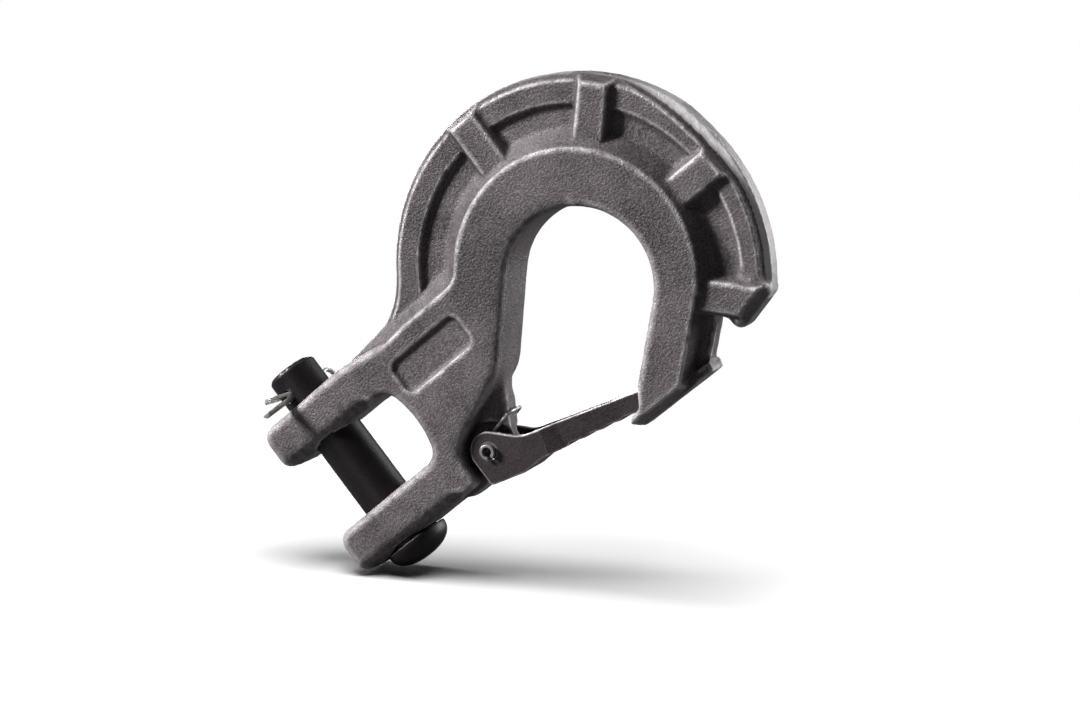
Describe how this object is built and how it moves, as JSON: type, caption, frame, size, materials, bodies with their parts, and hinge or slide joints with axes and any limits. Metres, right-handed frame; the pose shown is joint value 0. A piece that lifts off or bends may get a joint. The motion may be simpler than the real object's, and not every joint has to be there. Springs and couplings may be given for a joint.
{
  "type": "clevis hook",
  "caption": "Forged clevis hook with a spring-loaded latch, a ribbed guard flange round the bowl, and a clevis pin held by a cotter.",
  "frame": {"origin": "middle of the clevis pin's axis, on the hook's parting plane", "axes": "+X along the load line from the clevis pin to the bowl, +Y along the clevis pin to its cotter end, +Z square to the hook's side face"},
  "size_m": [0.1723, 0.1053, 0.0355],
  "materials": {
    "forged_coat": "satin coat over a forged skin",
    "latch_coat": "satin coat over stamped sheet",
    "pin_coat": "satin coat over turned steel",
    "bright_steel": "bright",
    "spring_wire": "drawn wire",
    "cotter_steel": "bright zinc"
  },
  "bodies": {
    "hook": {"hook_body": "forged_coat", "latch_pivot_pin": "bright_steel", "latch_spring": "spring_wire"},
    "latch": {"latch": "latch_coat"},
    "clevis_pin": {"clevis_pin": "pin_coat", "cotter_pin": "cotter_steel"}
  },
  "joints": [
    {"name": "latch_swing", "type": "hinge", "parent": "hook", "child": "latch", "pos_m": [0.0406, -0.021, 0], "axis": [0, 0, 1], "range_deg": [0, 50], "stiffness_Nm_per_rad": 0.25, "springref_deg": -34.38, "deforming": ["latch_spring"]},
    {"name": "clevis_pin_turn", "type": "hinge", "parent": "hook", "child": "clevis_pin", "pos_m": [0, 0, 0], "axis": [0, 1, 0], "continuous": true}
  ]
}
